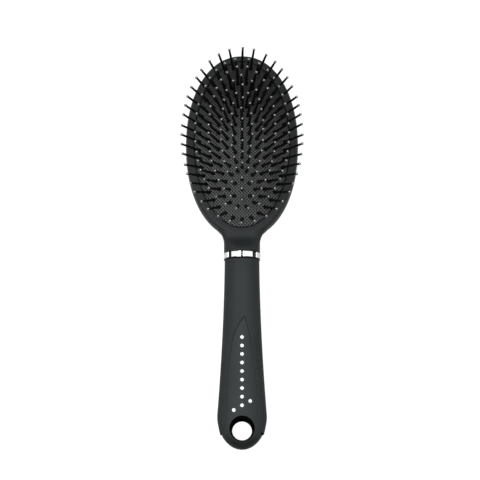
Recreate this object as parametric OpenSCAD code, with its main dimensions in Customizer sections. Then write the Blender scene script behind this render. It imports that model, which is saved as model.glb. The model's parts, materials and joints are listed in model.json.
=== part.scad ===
// Oval cushion brush, lying on its back with the pins up.
// The handle points to -Y, the head to +Y, and the floor is z = 0.
// The origin is the middle of the whole length, on the floor.

/* [Head] */
// Width of the head at its widest
head_w = 68.4; // [66:0.2:74]
// Length of the head, from its top edge to where the neck starts
head_l = 114.4; // [113:0.2:122]
// Height of the front rim above the back
head_h = 17; // [16.5:0.25:19]
// Height of the widest line of the head above the back
waist_h = 10; // [9:0.25:11]
// How far the rounding of the back runs in from the side
back_round = 10; // [8:0.5:11]
// How far the rounding of the rim runs in from the side
rim_round = 2.2; // [1.5:0.1:2.8]
// Height at which the head parts into frame and back cover
split_h = 4.5; // [4:0.1:5]
// Thickness of the back cover's floor
floor_t = 2.4; // [2:0.1:2.8]

/* [Cushion] */
// Width of the head's rim beside the cushion
rim_w = 5.4; // [5:0.1:6.5]
// Width of the rim at the top of the head
rim_top_w = 4.9; // [4.7:0.1:6.5]
// Width of the rim at the neck
rim_end_w = 5.5; // [5.3:0.1:8]
// Height of the cushion's crown above the rim
cushion_rise = 10; // [8:0.1:11]
// Thickness of the rubber
rubber_t = 1.2; // [1:0.05:1.5]
// How far the edge of the crown reaches down into the frame's mouth
edge_h = 0.8; // [0.5:0.1:1]
// How far the skirt is drawn in under the edge of the crown
pinch = 0.3; // [0.1:0.05:0.4]
// Reach of the flange past the skirt
flange_w = 1.8; // [1.6:0.1:2]
// Thickness of the frame's lip over the flange
lip_t = 2.4; // [2:0.1:2.8]

/* [Pins] */
// Length of a pin, from the rubber to the middle of its ball tip
pin_l = 18.4; // [15:0.2:20]
// Diameter of a pin at its foot
pin_d = 1.3; // [1:0.05:1.4]
// Diameter of a pin at its tip
pin_tip_d = 1.1; // [0.8:0.02:1.2]
// Diameter of the collar on the rubber
foot_d = 2.2; // [1.8:0.1:2.4]
// Height of the cone above that collar
foot_h = 3.2; // [2:0.1:5]
// Diameter of a pin where it passes the rubber
stem_d = 1.2; // [1:0.05:1.3]
// Diameter of the head under the rubber
pin_head_d = 2.4; // [2:0.1:2.6]
// Thickness of the head under the rubber
pin_head_t = 0.7; // [0.5:0.05:0.9]
// Diameter of a ball tip
ball_d = 1.7; // [1.5:0.05:2]
// Number of pins in the centre row
row_pins = 7; // [5:1:8]
// Distance from the first to the last pin of the centre row
row_l = 35.2; // [32:0.2:40]

/* [Neck and collar] */
// Width of the neck above the collar
neck_w = 21.6; // [20.6:0.2:22]
// Length of the neck
neck_l = 9.6; // [8:0.1:11]
// Height of the handle's axis above the floor at the collar
axis_h = 11.5; // [11.2:0.1:12.5]
// Length of the collar along the handle
collar_l = 4.4; // [4:0.1:5.5]
// Diameter over the collar's lips
collar_d = 21.8; // [21.2:0.1:22]
// Height of the plates along the handle
plate_h = 3.4; // [2.8:0.1:3.6]
// Thickness of the plates
plate_t = 0.9; // [0.7:0.05:1]
// Number of plates around the collar
plate_n = 9; // [6:1:10]
// Width of the gap between two plates
plate_gap = 1.3; // [0.8:0.1:2]
// Diameter of the spigot that joins head and handle
spigot_d = 15; // [13:0.2:15.4]
// Length of the spigot inside the handle
spigot_l = 24; // [16:0.5:30]

/* [Handle] */
// Length of the handle below the collar
handle_l = 111.6; // [105:0.2:120]
// Width of the handle under the collar
handle_w = 20.8; // [20.2:0.1:21.2]
// Width of the handle at its widest, near the end
lobe_w = 29.2; // [28:0.2:30.4]
// Distance from the widest place to the end
lobe_l = 19.5; // [18:0.1:21]
// Thickness of the handle under the collar
handle_t = 20; // [19.5:0.1:20.4]
// Thickness of the handle at its widest place
lobe_t = 16.6; // [15:0.1:18]
// Depth of the flat that the handle's back rests on
rest_cut = 0.4; // [0.2:0.1:0.6]
// Wall of the soft grip
grip_t = 1.6; // [1.2:0.1:2]
// Distance from the end of the handle to the end of the soft grip
grip_stop = 8.4; // [8:0.1:9]
// Diameter of the hanging hole
hole_d = 11.6; // [10:0.1:12.4]
// Distance from the middle of the hanging hole to the end
hole_in = 11; // [10.6:0.1:11.6]
// Radius of the rounding at the mouths of the hanging hole
hole_lip = 1.6; // [0.8:0.1:1.8]
// Width of the hard ring that shows round the hanging hole on the back
hole_ring = 1.6; // [1:0.1:2]

/* [Arch and studs] */
// Distance from the point of the arch to the end of the handle
arch_out = 76.9; // [74:0.1:80]
// Length of the curved part of the arch
arch_l = 45; // [40:0.5:48]
// Width of the arch where its curves end
arch_w = 18; // [16:0.2:19]
// Width of the arch at the end of the soft grip
arch_end_w = 24.6; // [24.2:0.2:25.6]
// Number of studs in the column
stud_n = 9; // [6:1:9]
// Distance between two studs of the column
stud_pitch = 4.94; // [4.6:0.02:5]
// Distance from the point of the arch to the first stud
stud_in = 12.2; // [11.8:0.1:13.5]
// Diameter of a stud
stud_d = 2.3; // [2:0.1:3]
// Height of a stud above the handle
stud_h = 0.8; // [0.5:0.1:1]
// Depth of a stud's pocket
stud_pocket = 0.9; // [0.6:0.1:1.2]

/* [Fits] */
// Gap all round the cushion's seam
seam_gap = 0.3; // [0.2:0.05:0.4]
// Radial clearance of a pin in its hole in the rubber
hole_clear = 0.05; // [0.03:0.01:0.08]
// Gap between a pin's shoulders and the rubber
seat_clear = 0.05; // [0.03:0.01:0.08]
// Clearance of a ball tip on the end of its pin
ball_clear = 0.02; // [0.01:0.01:0.04]
// Clearance between parts that are pushed together
push_clear = 0.1; // [0.05:0.01:0.15]
// Clearance between moulded faces that meet
face_clear = 0.05; // [0.03:0.01:0.1]

/* [Hidden] */

eps = 0.01;
// Overrun of every cut past the solid that it cuts
over = 1;

// Places along the brush
brush_l = head_l + neck_l + collar_l + handle_l;
head_top_y = brush_l / 2;
head_end_y = head_top_y - head_l;
collar_top_y = head_end_y - neck_l;
collar_end_y = collar_top_y - collar_l;
handle_end_y = -brush_l / 2;

// The head's widest line, as a share of its length from the top
wide_share = 0.492;
wide_y = head_top_y - wide_share * head_l;
head_top_b = wide_share * head_l;
head_end_b = head_l - head_top_b;

// The cushion fills the head inside its rim
cushion_w = head_w - 2 * rim_w;
cushion_l = head_l - rim_top_w - rim_end_w;
cushion_y = head_top_y - rim_top_w - cushion_l / 2;
seam_a = cushion_w / 2;
seam_b = cushion_l / 2;
seam_z = head_h;
edge_z = seam_z - edge_h;
flange_top_z = head_h - lip_t;
flange_z = flange_top_z - rubber_t;

// The crown is part of a barrel: an arc across the seam, turned along an arc of
// its own from end to end
crown_z = seam_z + cushion_rise;
cross_r = (seam_a * seam_a + cushion_rise * cushion_rise) / (2 * cushion_rise);
long_r = (seam_b * seam_b + cushion_rise * cushion_rise) / (2 * cushion_rise);
barrel_z = crown_z - cross_r;

// Opening in the frame's lip, and the pocket behind it for the flange
mouth_a = seam_a + seam_gap;
mouth_b = seam_b + seam_gap;
pocket_a = seam_a - pinch + flange_w + push_clear;
pocket_b = seam_b - pinch + flange_w + push_clear;
clamp_t = 2;

head_sides = 72;
loft_sides = 32;

// Pins of each ring, from the inside out: number of pins, half width and half
// length of the ring as shares of the seam's, and the share of one step that
// the first pin stands off the centre line
RING_N = [18, 24, 33, 38, 44];
RING_A_shares = [0.146, 0.306, 0.486, 0.684, 0.889];
RING_B_shares = [0.481, 0.588, 0.696, 0.783, 0.913];
RING_START_shares = [0, 0, 0, 0.5, 0];

// ---- Helpers

// Skin over a list of closed rings with as many points each. Each ring runs
// anticlockwise, seen from the last ring's side.
module skin(rings) {
    n = len(rings[0]);
    m = len(rings);
    sides = [for (k = [0:m - 2]) for (i = [0:n - 1])
        [k * n + i, (k + 1) * n + i, (k + 1) * n + (i + 1) % n, k * n + (i + 1) % n]];
    first = [[for (i = [0:n - 1]) i]];
    last = [[for (i = [n - 1:-1:0]) (m - 1) * n + i]];
    polyhedron([for (r = rings) for (p = r) p], concat(sides, first, last), convexity = 6);
}

// Horizontal oval, a little fuller than an ellipse, whose two ends have their own
// half lengths
oval_power = 2.14;
function oval(a, b_top, b_end, y, z, n) =
    [for (i = [0:n - 1]) let (t = 360 * i / n)
        [a * bend(cos(t), oval_power),
         y + (sin(t) > 0 ? b_top : b_end) * bend(sin(t), oval_power), z]];

// Upright section across the handle: a superellipse of the given power
function bend(v, power) = sign(v) * pow(abs(v), 2 / power);
function section(y, w, z, up, down, power, n) =
    [for (i = [0:n - 1]) let (t = 360 * i / n)
        [w * bend(cos(t), power), y, z + (sin(t) > 0 ? up : down) * bend(sin(t), power)]];

function mix(a, b, s) = a + (b - a) * s;
function clamp01(v) = max(0, min(1, v));
function smooth(v) = let (s = clamp01(v)) s * s * (3 - 2 * s);

module above(z) {
    translate([-head_w, -brush_l, z]) cube([2 * head_w, 2 * brush_l, brush_l]);
}

module below(z) {
    mirror([0, 0, 1]) above(-z);
}

// Upright prism with a true elliptical wall
module ellipse_prism(a, b, z, h) {
    translate([0, cushion_y, z]) linear_extrude(h) scale([a, b]) circle(1, $fn = 180);
}

// ---- Head

// Inset of the head's side at a height: quarter ellipses below and above the waist
function head_inset(z) = z < waist_h
    ? back_round * (1 - sqrt(1 - pow((waist_h - z) / waist_h, 2)))
    : rim_round * (1 - sqrt(1 - pow((z - waist_h) / (head_h - waist_h), 2)));

head_back_steps = 8;
head_rim_steps = 6;
head_levels = concat(
    [for (i = [0:head_back_steps]) waist_h * (1 - cos(90 * i / head_back_steps))],
    [for (i = [1:head_rim_steps]) waist_h + (head_h - waist_h) * sin(90 * i / head_rim_steps)]);

module head_body() {
    skin([for (z = head_levels) let (d = head_inset(z))
        oval(head_w / 2 - d, head_top_b - d, head_end_b - d, wide_y, z, head_sides)]);
}

// The neck widens into the head along a parabola. Its front drops from the collar to
// the rim, and turns from round to nearly flat on the way. Its back stays round.
neck_run = 9;
neck_flare_l = 9.5;
neck_flare = 4;
neck_flare_share = 0.42;
neck_front_power = 4.5;
neck_steps = 16;
neck_start_y = head_end_y + neck_run;
function neck_half_w(y) =
    neck_w / 2
    + neck_flare * pow(max(0, (y - head_end_y + neck_flare_share * neck_l) / neck_flare_l), 2);
function neck_drop(y) = smooth((y - collar_top_y) / neck_l);
function neck_up(y) = mix(neck_w / 2, head_h - rim_round / 4 - axis_h, neck_drop(y));

module neck() {
    skin([for (i = [0:neck_steps])
        let (y = mix(neck_start_y, collar_top_y, i / neck_steps))
        let (front = section(y, neck_half_w(y), axis_h, neck_up(y), neck_w / 2,
            mix(2, neck_front_power, neck_drop(y)), loft_sides))
        let (back = section(y, neck_half_w(y), axis_h, neck_up(y), neck_w / 2, 2, loft_sides))
        [for (k = [0:loft_sides - 1]) k < loft_sides / 2 ? front[k] : back[k]]]);
}

module head_outer() {
    head_body();
    neck();
}

module along_axis(y) {
    translate([0, y, axis_h]) rotate([90, 0, 0]) children();
}

// The spigot keeps a flat below, where the head parts, which stops it turning
module spigot(clear) {
    intersection() {
        along_axis(collar_top_y + over)
            cylinder(d = spigot_d + 2 * clear, h = over + collar_l + spigot_l + clear, $fn = 72);
        above(split_h - clear);
    }
}

module head_frame() {
    color([0.16, 0.17, 0.17]) difference() {
        union() {
            intersection() {
                head_outer();
                above(split_h);
            }
            spigot(0);
        }
        ellipse_prism(mouth_a, mouth_b, split_h - over, head_h);
        ellipse_prism(pocket_a, pocket_b, split_h - over, flange_top_z - split_h + over);
    }
}

// The cover's wall stands behind the flange and clamps it against the lip
module back_cover() {
    wall_a = pocket_a - push_clear;
    wall_b = pocket_b - push_clear;
    color([0.15, 0.16, 0.16]) difference() {
        union() {
            intersection() {
                head_outer();
                below(split_h - face_clear);
            }
            ellipse_prism(wall_a, wall_b, split_h - face_clear, flange_z - split_h);
        }
        ellipse_prism(wall_a - clamp_t, wall_b - clamp_t, floor_t, head_h);
    }
}

// ---- Cushion

module barrel(inset) {
    translate([0, cushion_y, barrel_z]) rotate([90, 0, 0])
        rotate_extrude($fn = 180) intersection() {
            translate([cross_r - long_r, 0]) circle(long_r - inset, $fn = 360);
            translate([0, -seam_b - over]) square([cross_r, 2 * (seam_b + over)]);
        }
}

module cushion() {
    skirt_a = seam_a - pinch;
    skirt_b = seam_b - pinch;
    color([0.24, 0.25, 0.26]) difference() {
        union() {
            intersection() {
                barrel(0);
                ellipse_prism(seam_a, seam_b, edge_z, 2 * cushion_rise);
            }
            ellipse_prism(skirt_a, skirt_b, flange_z, edge_z - flange_z + edge_h / 4);
            ellipse_prism(skirt_a + flange_w, skirt_b + flange_w, flange_z,
                rubber_t - face_clear);
        }
        intersection() {
            barrel(rubber_t);
            ellipse_prism(skirt_a - rubber_t, skirt_b - rubber_t, flange_z - over,
                2 * (crown_z - flange_z));
        }
        for (r = [0:len(RING_N)]) for (p = r == 0 ? row_points() : ring_points(r))
            at_pin(p) translate([0, 0, -2 * rubber_t])
                cylinder(d = stem_d + 2 * hole_clear, h = 4 * rubber_t, $fn = 24);
    }
}

// ---- Pins

arc_steps = 180;
function arc_point(a, b, t) = [a * sin(t), -b * cos(t)];

// Angles at even distances along an oval, from its handle end round to it again
function even_angles(a, b, n, start) =
    let (step = 360 / arc_steps)
    let (table = [for (i = 0, s = 0; i <= arc_steps;
            s = s + norm(arc_point(a, b, (i + 1) * step) - arc_point(a, b, i * step)), i = i + 1)
        [s, i * step]])
    let (whole = table[arc_steps][0])
    [for (i = [0:n - 1]) lookup((i + start) / n * whole, table)];

function ring_points(r) =
    let (a = RING_A_shares[r - 1] * seam_a)
    let (b = RING_B_shares[r - 1] * seam_b)
    [for (t = even_angles(a, b, RING_N[r - 1], RING_START_shares[r - 1])) arc_point(a, b, t)];

function row_points() = [for (i = [0:row_pins - 1]) [0, row_l * (i / (row_pins - 1) - 0.5)]];

// Radius of the barrel's cross section at a distance along it, and the crown's
// height over the barrel's axis at a place
function barrel_r(y) = cross_r - long_r + sqrt(long_r * long_r - y * y);
function crown_h(p) = sqrt(pow(barrel_r(p[1]), 2) - p[0] * p[0]);
function crown_normal(p) =
    let (v = [p[0], barrel_r(p[1]) * p[1] / sqrt(long_r * long_r - p[1] * p[1]), crown_h(p)])
    v / norm(v);

// Stands its children on the rubber at a place, square to it
module at_pin(p) {
    n = crown_normal(p);
    translate([p[0], cushion_y + p[1], barrel_z + crown_h(p)])
        rotate([0, acos(n[2]), atan2(n[1], n[0])]) children();
}

// One pin: head under the rubber, stem through it, collar and cone on it, tapered shaft
module pin() {
    head_z = -rubber_t - seat_clear;
    collar_h = seat_clear + 0.5 * pin_head_t;
    rotate_extrude($fn = 32) polygon([
        [0, head_z - pin_head_t], [pin_head_d / 2, head_z - pin_head_t],
        [pin_head_d / 2, head_z], [stem_d / 2, head_z],
        [stem_d / 2, seat_clear], [foot_d / 2, seat_clear],
        [foot_d / 2, collar_h], [pin_d / 2, collar_h + foot_h],
        [pin_tip_d / 2, pin_l], [0, pin_l]]);
}

// One ball tip, with the blind hole that takes the end of its pin
module ball_tip() {
    r = ball_d / 2;
    translate([0, 0, pin_l]) rotate_extrude($fn = 32) difference() {
        intersection() {
            circle(r, $fn = 48);
            translate([0, -r]) square([r, 2 * r]);
        }
        translate([-over, -r - over])
            square([pin_tip_d / 2 + ball_clear + over, r + over + ball_clear]);
    }
}

module pin_group(points) {
    color([0.06, 0.06, 0.07]) for (p = points) at_pin(p) pin();
}

module tip_group(points) {
    color([0.42, 0.43, 0.44]) for (p = points) at_pin(p) ball_tip();
}

// ---- Collar

plate_in_r = collar_d / 2 - plate_t / 2;

module collar() {
    lip = (collar_l - plate_h) / 2;
    r = collar_d / 2;
    color([0.05, 0.05, 0.05]) difference() {
        along_axis(collar_top_y - face_clear) rotate_extrude($fn = 96) polygon([
            [0, 0], [r - lip, 0], [r, lip / 2], [r, lip - face_clear],
            [plate_in_r - face_clear, lip - face_clear],
            [plate_in_r - face_clear, lip + plate_h - face_clear],
            [r, lip + plate_h - face_clear], [r, collar_l - lip / 2],
            [r - lip, collar_l - 2 * face_clear], [0, collar_l - 2 * face_clear]]);
        spigot(push_clear);
        intersection() {
            along_axis(collar_top_y + over)
                cylinder(d = spigot_d + 2 * push_clear, h = collar_l + 2 * over, $fn = 72);
            below(split_h);
        }
    }
}

module collar_plates() {
    bevel = plate_t / 3;
    lip = (collar_l - plate_h) / 2;
    span = 360 / plate_n - 360 * plate_gap / (PI * collar_d);
    color([0.9, 0.91, 0.92])
        along_axis(collar_top_y - lip - face_clear)
            for (i = [0:plate_n - 1])
                rotate([0, 0, 90 + 360 * (i + 0.5) / plate_n - span / 2])
                    rotate_extrude(angle = span, $fn = 96) polygon([
                        [plate_in_r, 0], [plate_in_r + plate_t - bevel, 0],
                        [plate_in_r + plate_t, bevel],
                        [plate_in_r + plate_t, plate_h - 3 * face_clear - bevel],
                        [plate_in_r + plate_t - bevel, plate_h - 3 * face_clear],
                        [plate_in_r, plate_h - 3 * face_clear]]);
}

// ---- Handle

wide_handle_y = handle_end_y + lobe_l;
grip_end_y = handle_end_y + grip_stop;
swell_power = 1.7;
handle_power = 2.2;
handle_steps = 20;
lobe_steps = 12;
// The lobe ends in a small flat, where this share of its arc is done
lobe_end_share = 0.995;

// Shares along the handle: 0 at the collar, 1 at its widest, then from 0 up over the lobe
function run_share(y) = clamp01((collar_end_y - y) / (collar_end_y - wide_handle_y));
function lobe_share(y) = lobe_end_share * clamp01((wide_handle_y - y) / lobe_l);
function handle_half_w(y) =
    mix(handle_w / 2, lobe_w / 2, pow(run_share(y), swell_power))
    * sqrt(1 - pow(lobe_share(y), 2));
function handle_half_t(y) =
    mix(handle_t / 2, lobe_t / 2, smooth(run_share(y))) * pow(1 - pow(lobe_share(y), 3), 1 / 2.4);
function handle_axis_z(y) =
    mix(axis_h, lobe_t / 2 - rest_cut, smooth(run_share(y)));
function handle_top_z(x, y) =
    handle_axis_z(y) + handle_half_t(y)
        * pow(1 - pow(abs(x) / handle_half_w(y), handle_power), 1 / handle_power);

function handle_ys() = concat(
    [for (i = [0:handle_steps]) mix(collar_end_y, wide_handle_y, i / handle_steps)],
    [for (i = [1:lobe_steps]) wide_handle_y - lobe_l * sin(90 * i / lobe_steps)]);

// The whole handle's shape, drawn in by an inset on every side but its top end
module handle_body(inset) {
    ys = handle_ys();
    skin([for (y = ys) let (in = min(inset, 0.5 * handle_half_w(y), 0.5 * handle_half_t(y)))
        section(y, handle_half_w(y) - in, handle_axis_z(y),
            handle_half_t(y) - in, handle_half_t(y) - in, handle_power, loft_sides)]);
}

// Outline of the arch on the front: a pointed arch of two arcs over widening legs
arch_top_y = handle_end_y + arch_out;
module arch_outline(grow) {
    half = arch_w / 2 + grow;
    run = arch_l + grow;
    r = (run * run + half * half) / (2 * half);
    foot_y = arch_top_y - arch_l;
    intersection() {
        translate([half - r, foot_y]) circle(r, $fn = 180);
        translate([r - half, foot_y]) circle(r, $fn = 180);
        translate([-half, foot_y]) square([2 * half, run + over]);
    }
    polygon([[-half, foot_y + eps], [-half, (foot_y + grip_end_y) / 2],
        [-arch_end_w / 2 - grow, grip_end_y], [-lobe_w / 2, grip_end_y - over],
        [lobe_w / 2, grip_end_y - over], [arch_end_w / 2 + grow, grip_end_y],
        [half, (foot_y + grip_end_y) / 2], [half, foot_y + eps]]);
}

// Where the hard core shows: inside the arch on the front, round the hanging hole
// on the back, and at the end of the lobe
module bare_zone(grow) {
    translate([0, 0, lobe_t / 2]) linear_extrude(head_h) arch_outline(grow);
    translate([0, hole_y, -over])
        cylinder(r = hole_d / 2 + hole_lip + hole_ring + grow, h = lobe_t / 2 + 2 * over, $fn = 72);
    translate([-lobe_w, handle_end_y - over, -over])
        cube([2 * lobe_w, grip_stop + over + grow, head_h + lobe_t]);
}

// The two studs beside the column's end, in shares of the pitch: how far each stands
// off the column, and how far the right and the left one stand past its last stud
side_stud_share = 0.965;
right_stud_share = -0.5;
left_stud_share = 0.56;
function stud_places() = concat(
    [for (i = [0:stud_n - 1]) [0, arch_top_y - stud_in - i * stud_pitch]],
    [for (s = [[side_stud_share, right_stud_share], [-side_stud_share, left_stud_share]])
        [s[0] * stud_pitch, arch_top_y - stud_in - (stud_n - 1 + s[1]) * stud_pitch]]);

module at_stud(p) {
    slope = atan((handle_top_z(p[0] + eps, p[1]) - handle_top_z(p[0] - eps, p[1])) / (2 * eps));
    translate([p[0], p[1], handle_top_z(p[0], p[1])]) rotate([0, -slope, 0]) children();
}

// Rounded mouth of the hanging hole, cut from a face at z = 0 with the hole below
module hole_mouth() {
    r = hole_d / 2;
    rotate_extrude($fn = 72) difference() {
        translate([0, -hole_lip]) square([r + hole_lip, hole_lip + over]);
        translate([r + hole_lip, -hole_lip]) circle(hole_lip, $fn = 48);
    }
}

hole_y = handle_end_y + hole_in;
hole_top_z = handle_top_z(hole_d / 2, hole_y);
hole_low_z = max(0, 2 * handle_axis_z(hole_y) - hole_top_z);

module handle_core() {
    color([0.2, 0.21, 0.21]) difference() {
        union() {
            handle_body(grip_t + face_clear);
            intersection() {
                handle_body(0);
                bare_zone(0);
            }
        }
        below(0);
        spigot(push_clear);
        translate([0, hole_y, -over]) cylinder(d = hole_d, h = lobe_t + 2 * over, $fn = 72);
        translate([0, hole_y, hole_top_z]) hole_mouth();
        translate([0, hole_y, hole_low_z]) mirror([0, 0, 1]) hole_mouth();
        for (p = stud_places())
            at_stud(p) translate([0, 0, -stud_pocket])
                cylinder(d = stud_d + 2 * face_clear, h = stud_pocket + over, $fn = 24);
    }
}

module grip_sleeve() {
    color([0.22, 0.23, 0.24]) difference() {
        handle_body(0);
        handle_body(grip_t);
        bare_zone(face_clear);
        below(0);
    }
}

// One stud: a disc with a shallow crown
module stud() {
    rim = stud_h / 3;
    cap = stud_h - rim;
    r = (stud_d * stud_d / 4 + cap * cap) / (2 * cap);
    translate([0, 0, face_clear - stud_pocket])
        cylinder(d = stud_d, h = stud_pocket - face_clear + rim, $fn = 24);
    intersection() {
        translate([0, 0, stud_h - r]) sphere(r, $fn = 48);
        translate([0, 0, rim]) cylinder(d = stud_d, h = stud_h, $fn = 24);
    }
}

module studs() {
    color([0.93, 0.94, 0.95]) for (p = stud_places()) at_stud(p) stud();
}

// ---- Nodes

head_frame();
back_cover();
cushion();
pin_group(row_points());  // pins_centre
pin_group(ring_points(1));  // pins_ring_1
pin_group(ring_points(2));  // pins_ring_2
pin_group(ring_points(3));  // pins_ring_3
pin_group(ring_points(4));  // pins_ring_4
pin_group(ring_points(5));  // pins_ring_5
tip_group(row_points());  // tips_centre
tip_group(ring_points(1));  // tips_ring_1
tip_group(ring_points(2));  // tips_ring_2
tip_group(ring_points(3));  // tips_ring_3
tip_group(ring_points(4));  // tips_ring_4
tip_group(ring_points(5));  // tips_ring_5
collar();
collar_plates();
handle_core();
grip_sleeve();
studs();
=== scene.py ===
# %% [markdown]
# # A cushion brush around a fixed frame
# The brush already exists as plain solids with fixed places and sizes, and with joints
# that press the pins in. This lesson keeps all of that and makes what the eye sees:
# rounded plastic, a fine mesh pressed into rubber, drops on the ends of the pins, plated
# plates and stones. The brush's sizes are in millimetres. It lies on its back: X across
# it, Y from handle to head, Z up.

import json
import math

import bmesh
import bpy
import numpy as np
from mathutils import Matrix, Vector
from mathutils.geometry import delaunay_2d_cdt
from mathutils.kdtree import KDTree

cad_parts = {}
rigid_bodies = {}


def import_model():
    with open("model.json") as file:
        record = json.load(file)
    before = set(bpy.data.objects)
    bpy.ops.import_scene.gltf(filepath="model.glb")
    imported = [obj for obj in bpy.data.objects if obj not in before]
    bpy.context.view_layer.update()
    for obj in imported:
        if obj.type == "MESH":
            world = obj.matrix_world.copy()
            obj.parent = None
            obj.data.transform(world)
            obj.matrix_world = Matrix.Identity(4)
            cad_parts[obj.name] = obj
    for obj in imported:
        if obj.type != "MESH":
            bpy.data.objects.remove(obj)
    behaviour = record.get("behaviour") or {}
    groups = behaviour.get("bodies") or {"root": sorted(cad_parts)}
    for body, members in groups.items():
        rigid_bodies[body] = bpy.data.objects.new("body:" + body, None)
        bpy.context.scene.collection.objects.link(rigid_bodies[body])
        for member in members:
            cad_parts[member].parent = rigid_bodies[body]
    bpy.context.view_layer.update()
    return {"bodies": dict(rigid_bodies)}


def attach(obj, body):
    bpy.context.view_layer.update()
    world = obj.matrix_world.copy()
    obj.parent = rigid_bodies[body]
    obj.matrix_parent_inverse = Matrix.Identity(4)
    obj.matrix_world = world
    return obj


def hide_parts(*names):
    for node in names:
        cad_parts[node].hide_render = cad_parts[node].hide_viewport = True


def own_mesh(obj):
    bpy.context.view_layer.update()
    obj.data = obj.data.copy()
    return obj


MM = 0.001
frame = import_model()
print("bodies:", ", ".join(sorted(frame["bodies"])))

# %% [markdown]
# ## The camera
# The photograph was taken from almost straight above the pins, leaning a little to the
# handle's side. A long lens keeps the pins of the outer ring nearly parallel to the line
# of sight. Lens and distance were found by matching the places of the pins' tips.

# %% Camera
LEAN, DISTANCE = math.radians(12.2), 780
TARGET = np.array([-1.2, 4.3, 11.5])
LENS, SENSOR = 97.5, 36


def add_object(name, data):
    made = bpy.data.objects.new(name, data)
    bpy.context.scene.collection.objects.link(made)
    return made


lens_data = bpy.data.cameras.new("camera")
lens_data.lens, lens_data.sensor_width = LENS, SENSOR
lens_data.dof.use_dof = False
camera = add_object("camera", lens_data)
camera.location = (TARGET + DISTANCE * np.array([0, -math.sin(LEAN), math.cos(LEAN)])) * MM
camera.rotation_euler = (LEAN, 0, 0)
bpy.context.scene.camera = camera
print("camera at", [round(c, 3) for c in camera.location])

# %% [markdown]
# ## Meshes from numbers
# Every piece ends as a list of points and a list of faces. One helper turns them into an
# object: it welds points that lie on one another, turns the faces outward and shades them
# smoothly, apart from sharp edges. Most shapes are rows of rings with strips of four-sided
# faces between them.

# %% Helpers for pieces
WELD = 0.002


def sharp_edges(work, angle):
    """Edges whose two faces meet at more than an angle in degrees."""
    return [e for e in work.edges
            if len(e.link_faces) == 2 and e.calc_face_angle(0) > math.radians(angle)]


def make_piece(name, points, faces, body="body", sharp=50, change=None):
    """A mesh object from points in millimetres, after a last change to it, riding on a body."""
    mesh = bpy.data.meshes.new(name)
    mesh.from_pydata((np.asarray(points, float) * MM).tolist(), [], [list(f) for f in faces])
    work = bmesh.new()
    work.from_mesh(mesh)
    bmesh.ops.remove_doubles(work, verts=work.verts, dist=WELD * MM)
    loose = [v for v in work.verts if not v.link_faces]
    bmesh.ops.delete(work, geom=loose, context="VERTS")
    bmesh.ops.recalc_face_normals(work, faces=work.faces)
    for edge in sharp_edges(work, sharp):
        edge.smooth = False
    if change:
        change(work)
    for face in work.faces:
        face.smooth = True
    work.to_mesh(mesh)
    work.free()
    piece = add_object(name, mesh)
    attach(piece, body)
    print(f"{name}: {len(mesh.polygons)} faces")
    return piece


def strips(rings, start=0):
    """Four-sided faces between closed rings whose points lie one after the other."""
    columns = len(rings[0])
    return [(start + r * columns + c, start + r * columns + (c + 1) % columns,
             start + (r + 1) * columns + (c + 1) % columns, start + (r + 1) * columns + c)
            for r in range(len(rings) - 1) for c in range(columns)]


def with_rings(points, faces, *sets):
    """Points and faces, with sets of rings and the strips between them added."""
    faces = [tuple(f) for f in faces]
    for rings in sets:
        faces += strips(rings, len(points))
        points = np.concatenate([points, rings.reshape(-1, 3)])
    return points, faces


def repeated(shapes, faces):
    """The points of several equal shapes, and the faces of all of them."""
    return np.concatenate(shapes), [tuple(v + len(shapes[0]) * n for v in f)
                                    for n in range(len(shapes)) for f in faces]


def smooth_step(value):
    s = np.clip(value, 0, 1)
    return s * s * (3 - 2 * s)


def between(a, b, share):
    return a + (b - a) * share


def unit(directions):
    """The same directions, each of length one."""
    return directions / np.maximum(np.linalg.norm(directions, axis=1, keepdims=True), 1e-9)


def run_along(path):
    """The distance run at each point of a path."""
    return np.concatenate([[0], np.cumsum(np.linalg.norm(np.diff(path, axis=0), axis=1))])


# %% [markdown]
# ## A skin on a drawing board
# Head and handle are long bodies with a closed section at every place along them. Such a
# skin can be unrolled flat, round the section and along the brush, and every seam, arch
# and hole is then a line. A constrained triangulation fills the sheet with triangles whose
# edges follow those lines, and each point is lifted back onto the body.

# %% The drawing board
MIDDLE_Z = 10


class Skin:
    """A closed skin. section(turn, y) gives x and z at a turn in degrees and a place y."""

    def __init__(self, section, places, width, columns):
        self.section, self.width, self.columns = section, width, columns
        self.places = places
        side_x, _ = section(np.zeros(len(places)), places)
        _, top_z = section(np.full(len(places), 90.0), places)
        step = np.diff(places) ** 2 + np.maximum(np.diff(side_x) ** 2, np.diff(top_z) ** 2)
        self.lengths = np.concatenate([[0], np.cumsum(np.sqrt(step))])

    def flat(self, turn, y):
        """Points on the drawing from a turn and a place."""
        order = np.argsort(self.places)
        along = np.interp(y, self.places[order], self.lengths[order])
        return np.stack([np.asarray(turn) / 360 * self.width, along], 1)

    def lift(self, drawing):
        """Points on the body from points on the drawing."""
        y = np.interp(drawing[:, 1], self.lengths, self.places)
        x, z = self.section(drawing[:, 0] / self.width * 360, y)
        return np.stack([x, y, z], 1)

    def inward(self, drawing, step=0.05):
        """Directions square to the body and into it."""
        def moved(du, dv):
            there = drawing + [du, dv]
            there[:, 1] = np.clip(there[:, 1], 0, self.lengths[-1])
            return self.lift(there)
        normal = unit(np.cross(moved(0, step) - moved(0, -step), moved(step, 0) - moved(-step, 0)))
        here = self.lift(drawing)
        toward = here * [0, 1, 0] + [0, 0, MIDDLE_Z] - here
        return normal * np.sign((normal * toward).sum(1, keepdims=True))

    def closing(self, middle, insets):
        """Rings that close the first end, each further in towards a middle point."""
        across = np.linspace(0, self.width, self.columns + 1)[:-1]
        edge = self.lift(np.stack([across, np.zeros(self.columns)], 1))
        return np.array([edge + unit(np.array(middle) - edge) * inset for inset in insets])


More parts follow.
